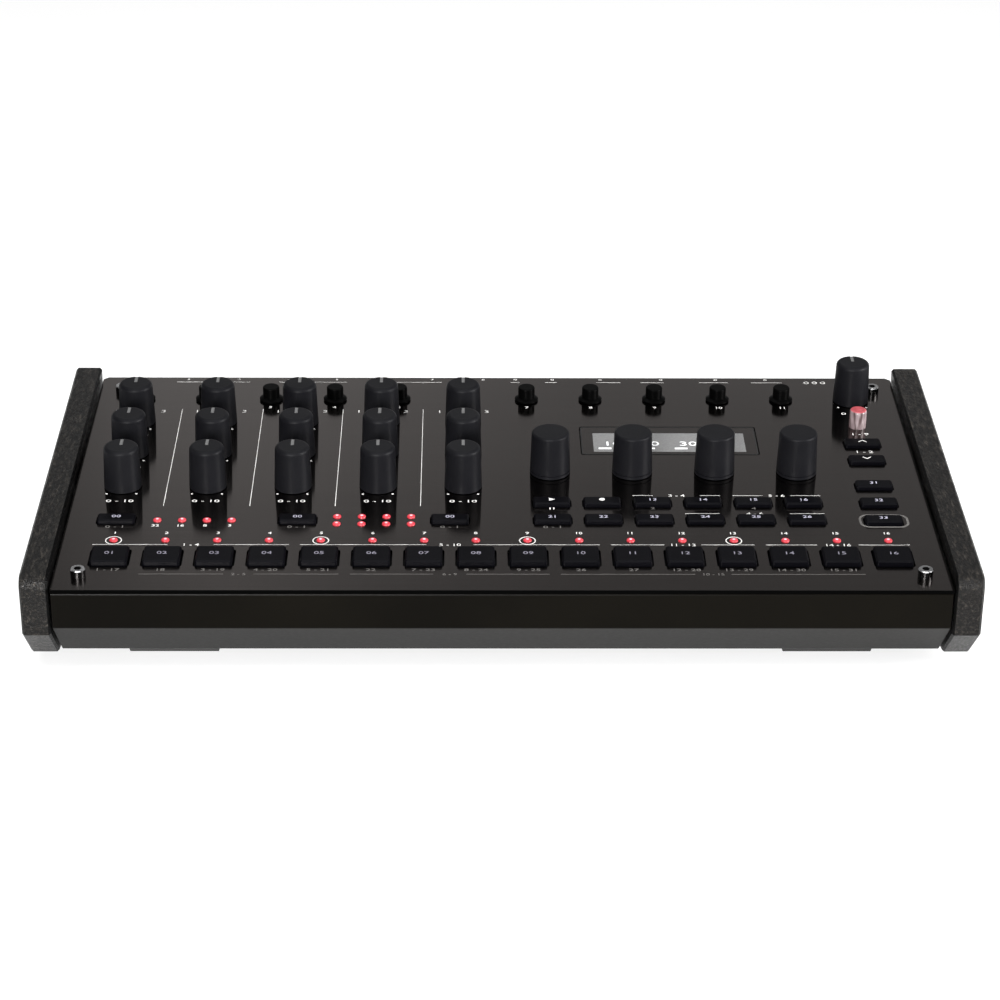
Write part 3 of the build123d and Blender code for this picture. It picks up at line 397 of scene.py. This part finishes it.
class Marks:
    """Flat marks in millimetres on a plane, gathered into one printed piece."""

    def __init__(self):
        self.points = []
        self.faces = []

    def polygon(self, outline):
        """Filled outline."""
        first = len(self.points)
        self.points += outline
        self.faces.append(tuple(range(first, len(self.points))))

    def bar(self, x, y, width, height):
        """Filled rectangle round its centre."""
        left, right, low, high = x - width / 2, x + width / 2, y - height / 2, y + height / 2
        self.polygon([(left, low), (right, low), (right, high), (left, high)])

    def stroke(self, start, end, width):
        """Straight line between two points."""
        run = Vector(end) - Vector(start)
        side = Vector((-run.y, run.x)).normalized() * width / 2
        a, b = Vector(start), Vector(end)
        self.polygon([tuple(p) for p in (a - side, b - side, b + side, a + side)])

    def disc(self, x, y, radius, steps=20):
        """Filled circle."""
        self.polygon([(x + radius * u, y + radius * v) for u, v in full_turn(steps)])

    def loop(self, outline, width):
        """Closed line of even width; outline is a list of (point, outward direction)."""
        first = len(self.points)
        for (x, y), (u, v) in outline:
            self.points.append((x - u * width / 2, y - v * width / 2))
            self.points.append((x + u * width / 2, y + v * width / 2))
        count = len(outline)
        for i in range(count):
            a, b = first + 2 * i, first + 2 * ((i + 1) % count)
            self.faces.append((a, a + 1, b + 1, b))

    def ring(self, x, y, radius, width, steps=40):
        """Circular line."""
        outline = [((x + radius * u, y + radius * v), (u, v)) for u, v in full_turn(steps)]
        self.loop(outline, width)

    def rounded_frame(self, x, y, width, height, corner, line, steps=6):
        """Line round a rectangle with rounded corners."""
        outline = []
        for quarter in range(4):
            start = quarter * pi / 2
            cx = x + (width / 2 - corner) * (1 if quarter in (0, 3) else -1)
            cy = y + (height / 2 - corner) * (1 if quarter in (0, 1) else -1)
            for i in range(steps + 1):
                t = start + pi / 2 * i / steps
                outline.append(((cx + corner * cos(t), cy + corner * sin(t)), (cos(t), sin(t))))
        self.loop(outline, line)

    def number(self, text, x, y, height, widen):
        """Plain figures, centred on a place; y is the middle of their height."""
        curve = bpy.data.curves.new("figures", "FONT")
        curve.body = text
        curve.align_x = "CENTER"
        curve.resolution_u = LETTER_STEPS
        curve.size = height / LETTER_RATIO
        holder = bpy.data.objects.new("figures", curve)
        flat = bpy.data.meshes.new_from_object(holder)
        first = len(self.points)
        self.points += [(x + v.co.x * widen, y + v.co.y - height / 2) for v in flat.vertices]
        self.faces += [tuple(first + i for i in face.vertices) for face in flat.polygons]
        bpy.data.objects.remove(holder)
        bpy.data.meshes.remove(flat)
        bpy.data.curves.remove(curve)

    def piece(self, name, surface, body, lift=INK_LIFT, thickness=INK_THICKNESS):
        """Turns the marks into one thin piece that lies along the panel and rides on a body."""
        mesh = bpy.data.meshes.new(name)
        mesh.from_pydata([(x, y, lift) for x, y in self.points], [], self.faces)
        mesh.transform(panel_matrix)
        mesh.materials.append(surface)
        made = bpy.data.objects.new(name, mesh)
        bpy.context.scene.collection.objects.link(made)
        body_of_ink = made.modifiers.new("ink", "SOLIDIFY")
        body_of_ink.thickness = thickness * MM
        body_of_ink.offset = 1.0
        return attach(made, body)


# ---------------------------------------------------------------- places, as on the machine
COLUMN = 19.13  # pitch of the step keys
STEP_COUNT = 16
BEAT = 4  # steps in a beat, and step keys on one mat
STEP_ALONG = 23.8
STEP_LIGHT_ALONG = 37.2
MODE_ALONG = 52.85
PATTERN_ALONG = 66.6
SIDE_ALONGS = (52.2, 66.3, 80.7, 102.0, 116.5)
SIDE_ACROSS = 7.507 * COLUMN
SINGLES = {
    "time_key": -7.533 * COLUMN, "yes_key": -3.989 * COLUMN, "no_key": -1.004 * COLUMN,
}
# Heights over the panel's face of the step keys, the lights and the small keys.
STEP_RISE = 2.1
LIGHT_RISE = 0.6
SMALL_RISE = 1.7
SOUND_LINES, SOUND_COLUMNS = 3, 5
SOUND_FIRST = (-7.554 * COLUMN, 80.8)
SOUND_PITCH = (1.7026 * COLUMN, 27.8)
LEVEL_COUNT = 11
LEVEL_PITCH = 1.356 * COLUMN
LEVEL_CENTRE = -0.753 * COLUMN
LEVEL_ALONG = 156.85
VOLUME_PLACE = (7.517 * COLUMN, LEVEL_ALONG)
KEY_ROW_COUNT = 6
KEY_ROW_CENTRE = 3.51 * COLUMN

step_places = row(STEP_COUNT, COLUMN, (0, STEP_ALONG))
step_acrosses = [across for across, _ in step_places]
key_acrosses = [across for across, _ in row(KEY_ROW_COUNT, COLUMN, (KEY_ROW_CENTRE, 0))]
level_places = row(LEVEL_COUNT, LEVEL_PITCH, (LEVEL_CENTRE, LEVEL_ALONG))
sound_places = {
    (line, place): (SOUND_FIRST[0] + SOUND_PITCH[0] * place, SOUND_FIRST[1] + SOUND_PITCH[1] * line)
    for line in range(SOUND_LINES)
    for place in range(SOUND_COLUMNS)
}

# ---------------------------------------------------------------- panel print
THIN_LINE = 0.22
pale = Marks()
dim = Marks()


def group_line(marks, acrosses, half, along, group, height=1.9):
    """Line over the controls from first to last, broken by gap on both sides for their numbers."""
    first, last, gap = group
    left, right = acrosses[first - 1] - half, acrosses[last - 1] + half
    middle = (left + right) / 2
    marks.stroke((left, along), (middle - gap, along), THIN_LINE)
    marks.stroke((middle + gap, along), (right, along), THIN_LINE)
    marks.number(f"{first} - {last}", middle, along, height, widen=1.3)


STEP_NUMBER_ALONG = 43.1
for index, across in enumerate(step_acrosses):
    pale.number(str(index + 1), across, STEP_NUMBER_ALONG, height=1.7, widen=1.25)
    if index % BEAT == 0:
        pale.ring(across, STEP_LIGHT_ALONG, radius=2.9, width=0.35)

# Lines over groups of step keys, and second functions below them.
STEP_HALF = 7.5
STEP_GROUPS = ((1, 4, 8.5), (5, 10, 8.7), (11, 13, 6.8), (14, 16, 7.7))
STEP_GROUP_ALONG = 34.0
LEGEND_ALONG = 15.1
NARROW_LEGENDS = (2, 6, 10, 11)
LEGEND_GROUPS = ((2, 5, 5.5), (6, 9, 6.0), (10, 15, 6.6))
LEGEND_GROUP_ALONG = 11.8
for group in STEP_GROUPS:
    group_line(pale, step_acrosses, STEP_HALF, STEP_GROUP_ALONG, group)
for number, across in enumerate(step_acrosses[:-1], start=1):
    second = STEP_COUNT + number
    text = f"{second}" if number in NARROW_LEGENDS else f"{number} - {second}"
    dim.number(text, across, LEGEND_ALONG, height=1.8, widen=1.5)
for group in LEGEND_GROUPS:
    group_line(dim, step_acrosses, STEP_HALF, LEGEND_GROUP_ALONG, group, height=1.6)

# Sound knobs: separator lines, numbers, end-of-travel dots.
SEPARATORS = (-127.6, -95.0, -62.7, -30.4)
SEPARATOR_ENDS = (64.5, 148.0)
SEPARATOR_LINE = 0.24
KNOB_LABEL_DROP = 12.3
END_DOT = (5.7, 6.6)
HEADINGS = ((-9.5, "1"), (0, "2"), (9.5, "3"))
HEADING_ALONG = 146.0
for across in SEPARATORS:
    pale.stroke((across, SEPARATOR_ENDS[0]), (across, SEPARATOR_ENDS[1]), SEPARATOR_LINE)
for across, along in [*sound_places.values(), VOLUME_PLACE]:
    pale.number("0 - 10", across, along - KNOB_LABEL_DROP, height=1.9, widen=1.7)
    for hand in (-1, 1):
        pale.disc(across + hand * END_DOT[0], along - END_DOT[1], radius=0.45, steps=12)
for place in range(SOUND_COLUMNS):
    across = sound_places[(0, place)][0]
    for offset, text in HEADINGS:
        pale.number(text, across + offset, HEADING_ALONG, height=2.3, widen=1.4)

# Rows of keys: numbers over groups, and second functions below.
KEY_HALF = 7.2
PATTERN_GROUPS = ((3, 4, 9.0), (5, 6, 5.3))
PATTERN_GROUP_ALONG = 73.2
MODE_GROUP = (4, 6, 13.3)
MODE_GROUP_ALONG = 58.6
KEY_LEGEND_ALONG = 47.9
PATTERN_LEGEND_ALONG = KEY_LEGEND_ALONG + 15.0
PAUSE_ALONG = 62.6
PAUSE_HALF = 0.7
BANK_NUMBERS = ("32", "16", "8", "3")
BANK_NUMBER_PITCH = 9.27
BANK_NUMBER_CENTRE = (-115.3, 48.9)
for group in PATTERN_GROUPS:
    group_line(pale, key_acrosses, KEY_HALF, PATTERN_GROUP_ALONG, group)
group_line(pale, key_acrosses, KEY_HALF, MODE_GROUP_ALONG, MODE_GROUP)
for across in [*SINGLES.values(), key_acrosses[0]]:
    dim.number("0 - 1", across, KEY_LEGEND_ALONG, height=1.7, widen=1.7)
for text, across in (("2", key_acrosses[2]), ("4", key_acrosses[4])):
    dim.number(text, across, PATTERN_LEGEND_ALONG, height=1.6, widen=1.7)
for hand in (-1, 1):
    pale.bar(key_acrosses[0] + hand * PAUSE_HALF, PAUSE_ALONG, width=0.5, height=1.6)
bank_number_places = row(len(BANK_NUMBERS), BANK_NUMBER_PITCH, BANK_NUMBER_CENTRE)
for (across, along), text in zip(bank_number_places, BANK_NUMBERS):
    pale.number(text, across, along, height=1.7, widen=1.3)

# Right-hand column: page number, and the frame of the function key.
PAGE_NUMBER_ALONG = 110.4
FUNCTION_FRAME_SHIFT = (0.3, 0.6)
pale.number("1 - 2", SIDE_ACROSS, PAGE_NUMBER_ALONG, height=2.0, widen=1.4)
dim.rounded_frame(SIDE_ACROSS + FUNCTION_FRAME_SHIFT[0], SIDE_ALONGS[0] + FUNCTION_FRAME_SHIFT[1],
                  width=17.8, height=9.6, corner=3.4, line=0.9)

# Level knobs, the sockets along the rear edge, and the tempo knob.
LEVEL_LABEL_DROP = 7.0
REAR_NUMBER_ALONG = 176.0
REAR_LINE_ALONG = 173.4
PHONE_JACKS = (-148.8, -127.4, -106.6, -86.2, -66.3, -46.7, -27.0, -6.0)
SMALL_SOCKETS = (7.3, 22.6, 42.4, 67.5, 90.1, 110.7)
REAR_LINES = (
    (-132.0, -102.0), (-90.0, -62.0), (-50.0, -23.0), (5.3, 9.1), (19.5, 24.5), (40.7, 50.7),
    (59.0, 68.6), (83.2, 95.1), (104.7, 117.4),
)
REAR_RINGS_CENTRE = (130.9, REAR_LINE_ALONG)
REAR_RINGS_PITCH = 3.4
TEMPO_NUMBER_ALONG = 126.0
for index, (across, along) in enumerate(level_places):
    pale.number(str(index + 1), across, along - LEVEL_LABEL_DROP, height=1.8, widen=1.3)
for index, across in enumerate(PHONE_JACKS):
    pale.number(str(index + 1), across, REAR_NUMBER_ALONG, height=1.3, widen=1.5)
for left, right in REAR_LINES:
    pale.stroke((left, REAR_LINE_ALONG), (right, REAR_LINE_ALONG), THIN_LINE)
for across in SMALL_SOCKETS:
    pale.number("0", across, REAR_NUMBER_ALONG, height=1.3, widen=1.8)
for across, along in row(3, REAR_RINGS_PITCH, REAR_RINGS_CENTRE):
    pale.ring(across, along, radius=0.9, width=0.3, steps=20)
pale.number("1 - 9", VOLUME_PLACE[0], TEMPO_NUMBER_ALONG, height=2.0, widen=1.4)

pale.piece("panel_print", pale_ink, "case")
dim.piece("panel_print_dim", dim_ink, "case")

# ---------------------------------------------------------------- lamps with painted highlights, and painted shadow round the window
# One light over each step key, four in a row, and eight in a block of two lines.
BANK_COUNT = 4
BANK_PITCH = 0.4846 * COLUMN
BANK_CENTRE = (-6.006 * COLUMN, MODE_ALONG)
BLOCK_ACROSS = -2.493 * COLUMN
BLOCK_GAP = 5.8
HIGHLIGHT_SHIFT = 0.2
GLOW_HIGHLIGHT_RADIUS = 0.55
lamp_places = [(across, STEP_LIGHT_ALONG) for across in step_acrosses]
lamp_places += row(BANK_COUNT, BANK_PITCH, BANK_CENTRE)
for hand in (-1, 1):
    lamp_places += row(BANK_COUNT, BANK_PITCH, (BLOCK_ACROSS, MODE_ALONG + hand * BLOCK_GAP / 2))
# Pale discs on the lamps, a little up the slope: their glow with a painted highlight.
glow = Marks()
for across, along in lamp_places:
    glow.disc(across, along + HIGHLIGHT_SHIFT, GLOW_HIGHLIGHT_RADIUS)
glow.piece("lamp_glow_highlight", glow_highlight_ink, "case", lift=LIGHT_RISE)

# Painted shadow: a black line inside the window's edge stands for the shade of the gap there.
WINDOW_CENTRE = (KEY_ROW_CENTRE, 119.9)
WINDOW_SIZE = (69.5, 24.1)
GAP_SHADOW_LINE = 0.5
gap_shadow = Marks()
gap_shadow.rounded_frame(*WINDOW_CENTRE, WINDOW_SIZE[0] - GAP_SHADOW_LINE, WINDOW_SIZE[1] - GAP_SHADOW_LINE,
                     corner=0.6, line=GAP_SHADOW_LINE)
gap_shadow.piece("window_gap_shadow", shadow_ink, "case")

# ---------------------------------------------------------------- display image
LCD_CENTRE = (67.2, 118.3)
LCD_SIZE = (60.0, 16.3)
LCD_FIELDS = 4
LCD_PITCH = 15
LCD_FIGURE_DROP = 0.9
GAUGE_DROP = 5.2
GAUGE_SHIFT = 3.0
GAUGE_SIZE = (5.0, 1.3)
LONG_GAUGE = (1.2, 2.0)  # every second gauge's shift to the right, and what it is longer by
lcd = Marks()
lcd.bar(*LCD_CENTRE, *LCD_SIZE)
lcd.piece("display_image", lcd_back, "case")
pixels = Marks()
for index, (across, along) in enumerate(row(LCD_FIELDS, LCD_PITCH, LCD_CENTRE)):
    longer = index % 2
    pixels.number(str(10 * (index + 1)), across, along - LCD_FIGURE_DROP, height=3.6, widen=1.5)
    pixels.bar(across - GAUGE_SHIFT + LONG_GAUGE[0] * longer, along - GAUGE_DROP,
               GAUGE_SIZE[0] + LONG_GAUGE[1] * longer, GAUGE_SIZE[1])
pixels.piece("display_figures", lcd_pixel, "case", lift=INK_LIFT + INK_THICKNESS)

# ---------------------------------------------------------------- key legends
STEP_FIGURES = 2.1
SMALL_FIGURES = 1.9
STEP_FIGURE_SHIFT = 0.4
SMALL_FIGURE_SHIFT = 0.3


def key_marks(body, figures, rise=SMALL_RISE, height=SMALL_FIGURES, ink=small_key_ink):
    """Figures on the tops of the keys of one body; figures are (place, text)."""
    legend = Marks()
    for (across, along), text in figures:
        legend.number(text, across, along, height, widen=1.35)
    legend.piece(f"{body}_print", ink, body, lift=rise)


for first in range(0, STEP_COUNT, BEAT):
    figures = [
        ((across, along + STEP_FIGURE_SHIFT), f"{first + i + 1:02d}")
        for i, (across, along) in enumerate(step_places[first:first + BEAT])
    ]
    key_marks(f"step_keys_{first + 1}_{first + BEAT}", figures, STEP_RISE, STEP_FIGURES, key_ink)

FIRST_MODE, FIRST_PATTERN, LAST_FUNCTION = 21, 13, 33  # plain numbers on the small keys
mode_middle = MODE_ALONG + SMALL_FIGURE_SHIFT
pattern_middle = PATTERN_ALONG + SMALL_FIGURE_SHIFT
for body, across in SINGLES.items():
    key_marks(body, [((across, mode_middle), "00")])
key_marks("mode_keys", [
    ((across, mode_middle), f"{FIRST_MODE + i}") for i, across in enumerate(key_acrosses)])
play, record, *pattern_acrosses = key_acrosses
key_marks("pattern_keys", [
    ((across, pattern_middle), f"{FIRST_PATTERN + i}")
    for i, across in enumerate(pattern_acrosses)])
function_alongs, page_alongs = SIDE_ALONGS[:3], SIDE_ALONGS[3:]
key_marks("side_keys", [
    ((SIDE_ACROSS, along + SMALL_FIGURE_SHIFT), f"{LAST_FUNCTION - i}")
    for i, along in enumerate(function_alongs)])

ICON_HALF = 1.1
PLAY_BACK = 1.0
PLAY_POINT = 1.3
transport = Marks()
transport.polygon([
    (play - PLAY_BACK, pattern_middle - ICON_HALF), (play + PLAY_POINT, pattern_middle),
    (play - PLAY_BACK, pattern_middle + ICON_HALF)])
transport.disc(record, pattern_middle, ICON_HALF)
transport.piece("transport_print", pale_ink, "pattern_keys", lift=SMALL_RISE)

ARROW_HALF = (1.6, 0.7)
ARROW_LINE = 0.4
arrows = Marks()
for along, hand in zip(page_alongs, (-1, 1)):
    foot, point = along - ARROW_HALF[1] * hand, along + ARROW_HALF[1] * hand
    arrows.stroke((SIDE_ACROSS - ARROW_HALF[0], foot), (SIDE_ACROSS, point), ARROW_LINE)
    arrows.stroke((SIDE_ACROSS, point), (SIDE_ACROSS + ARROW_HALF[0], foot), ARROW_LINE)
arrows.piece("page_arrows", pale_ink, "side_keys", lift=SMALL_RISE)

# ---------------------------------------------------------------- knob pointers
KNOB_HEIGHT = 17.4
KNOB_TOP_RADIUS = 6.6
POINTER_DEPTH = 0.6
POINTER_LENGTH = 6.2
POINTER_WIDTH = 1.2
RIM_ROUNDING = 0.7
POINTER_ENDS = 1.2  # length of the groove that stays unpainted
PAINT_GAP = 0.1


def pointer(name, place, body):
    """Painted inlay in the pointer groove, out to the knob's rounded rim."""
    line = Marks()
    middle = place[1] + KNOB_TOP_RADIUS - POINTER_LENGTH / 2 - RIM_ROUNDING
    line.bar(place[0], middle, POINTER_WIDTH, POINTER_LENGTH - POINTER_ENDS)
    line.piece(name, pointer_ink, body, KNOB_HEIGHT - POINTER_DEPTH, POINTER_DEPTH - PAINT_GAP)


for (line, place), centre in sound_places.items():
    pointer(f"pointer_{line + 1}_{place + 1}", centre, f"sound_knob_{line + 1}_{place + 1}")
pointer("pointer_volume", VOLUME_PLACE, "volume_knob")

# ---------------------------------------------------------------- floor
FLOOR_REACH = 6.0
FLOOR_TONE = 0.8  # for light that falls on the machine
SHOWN_TONE = 0.45  # for the camera and in reflections, with a glow that makes it almost white
SHOWN_GLOW = 0.72
floor_mesh = bpy.data.meshes.new("floor")
floor_mesh.from_pydata(
    [(x * FLOOR_REACH, y * FLOOR_REACH, 0) for x, y in ((-1, -1), (1, -1), (1, 1), (-1, 1))],
    [], [(0, 1, 2, 3)])
floor = bpy.data.objects.new("floor", floor_mesh)
bpy.context.scene.collection.objects.link(floor)


def mix_shaders(tree, factor, first, second, output):
    """Shows the second shader instead of the first as a factor rises."""
    pick = tree.nodes.new("ShaderNodeMixShader")
    for socket, value in zip(pick.inputs, (factor, first.outputs[0], second.outputs[0])):
        set_input(tree, socket, value)
    fill(tree, output, Surface=pick.outputs[0])


def paper():
    """White floor: shown almost white to the camera and in reflections, with its shadow kept."""
    made = bpy.data.materials.new("paper")
    made.use_nodes = True
    tree = made.node_tree
    tree.nodes.remove(tree.nodes["Principled BSDF"])
    plain = add_node(tree, "ShaderNodeBsdfDiffuse", Color=grey(FLOOR_TONE))
    shown = add_node(tree, "ShaderNodeBsdfDiffuse", Color=grey(SHOWN_TONE))
    white = add_node(tree, "ShaderNodeEmission", Strength=SHOWN_GLOW)
    both = tree.nodes.new("ShaderNodeAddShader")
    for socket, part in zip(both.inputs, (shown, white)):
        set_input(tree, socket, part.outputs[0])
    rays = add_node(tree, "ShaderNodeLightPath")
    seen = calculate(tree, "MAXIMUM", rays.outputs["Is Camera Ray"], rays.outputs["Is Glossy Ray"])
    mix_shaders(tree, seen, plain, both, tree.nodes["Material Output"])
    return made


floor_mesh.materials.append(paper())

# ---------------------------------------------------------------- surroundings
# Brightness of the room, and where its parts begin and end, as x, y or z of a ray's direction.
ROOM_FRONT = 0.06
ROOM_BACK = 0.72
ROOM_TOP = 0.8
WALL_FRONT = (-0.2, 0.4)
WALL_END = (0.51, 0.71)
CEILING = (0.8, 0.97)
WALL_ACROSS = (-0.2, 0.2)
WALL_TONES = ((0.10, 0.45), (0.24, 0.98), (0.35, 1.0), (0.5, 0.76), (0.62, 0.62), (0.9, 0.60))


def studio_world():
    """White for the camera; the machine is lit by a wall behind it and a ceiling, dark in front."""
    world = bpy.data.worlds.new("studio")
    bpy.context.scene.world = world
    world.use_nodes = True
    tree = world.node_tree
    place = add_node(tree, "ShaderNodeTexCoord")
    split = add_node(tree, "ShaderNodeSeparateXYZ", Vector=place.outputs["Generated"])
    # The wall is brightest left of the middle.
    spread = map_range(tree, split.outputs["X"], source=WALL_ACROSS).outputs["Result"]
    side = colour_ramp(tree, spread, [(position, grey(tone)) for position, tone in WALL_TONES])
    far = step_up(tree, split.outputs["Y"], *WALL_FRONT)
    behind = mix_values(tree, 0.0, ROOM_BACK, calculate(tree, "MULTIPLY", side, far))
    below = mix_values(tree, 1.0, 0.0, step_up(tree, split.outputs["Z"], *WALL_END))
    wall = calculate(tree, "MULTIPLY_ADD", behind, below, ROOM_FRONT)
    above = mix_values(tree, 0.0, ROOM_TOP, step_up(tree, split.outputs["Z"], *CEILING))
    room = tree.nodes["Background"]
    fill(tree, room, Color=grey(1), Strength=calculate(tree, "ADD", wall, above))
    white = add_node(tree, "ShaderNodeBackground", Color=grey(1))
    rays = add_node(tree, "ShaderNodeLightPath")
    mix_shaders(tree, rays.outputs["Is Camera Ray"], room, white, tree.nodes["World Output"])


studio_world()

# ---------------------------------------------------------------- lamps and camera
# Name, place, target, size and power.
SOFTBOXES = (
    ("soft_top", (-0.2, 0.1, 1.6), (0, 0, 0), (2.4, 1.4), 14.0),
    ("soft_front", (0, -0.9, 1.15), (0, 0, 0), (1.6, 0.25), 9.0),
    ("soft_left", (-0.3, -1.4, 0.25), (0, 0, 0.05), (0.4, 0.3), 34.0),
    ("soft_right", (1.2, -0.4, 0.35), (0, 0, 0.05), (0.5, 0.6), 32.0),
)


def softbox(name, place, target, size, power):
    """Large area lamp that faces a point."""
    data = bpy.data.lights.new(name, "AREA")
    data.shape = "RECTANGLE"
    data.size, data.size_y = size
    data.energy = power
    lamp = bpy.data.objects.new(name, data)
    lamp.location = place
    lamp.rotation_euler = (Vector(target) - Vector(place)).to_track_quat("-Z", "Y").to_euler()
    bpy.context.scene.collection.objects.link(lamp)


for settings in SOFTBOXES:
    softbox(*settings)

CAMERA_PLACE = (-15.2, -1048.6, 386.6)
CAMERA_DOWN = radians(18.209)
CAMERA_RIGHT = radians(0.834)
CAMERA_ROLL = radians(0.316)
camera_data = bpy.data.cameras.new("camera")
camera_data.sensor_width = 36.0
camera_data.lens = 102.44
camera = bpy.data.objects.new("camera", camera_data)
camera.matrix_world = (
    Matrix.Translation(Vector(CAMERA_PLACE) * MM)
    @ Matrix.Rotation(-CAMERA_RIGHT, 4, "Z")
    @ Matrix.Rotation(pi / 2 - CAMERA_DOWN, 4, "X")
    @ Matrix.Rotation(CAMERA_ROLL, 4, "Z")
)
bpy.context.scene.collection.objects.link(camera)
bpy.context.scene.camera = camera
bpy.context.scene.view_settings.view_transform = "Standard"
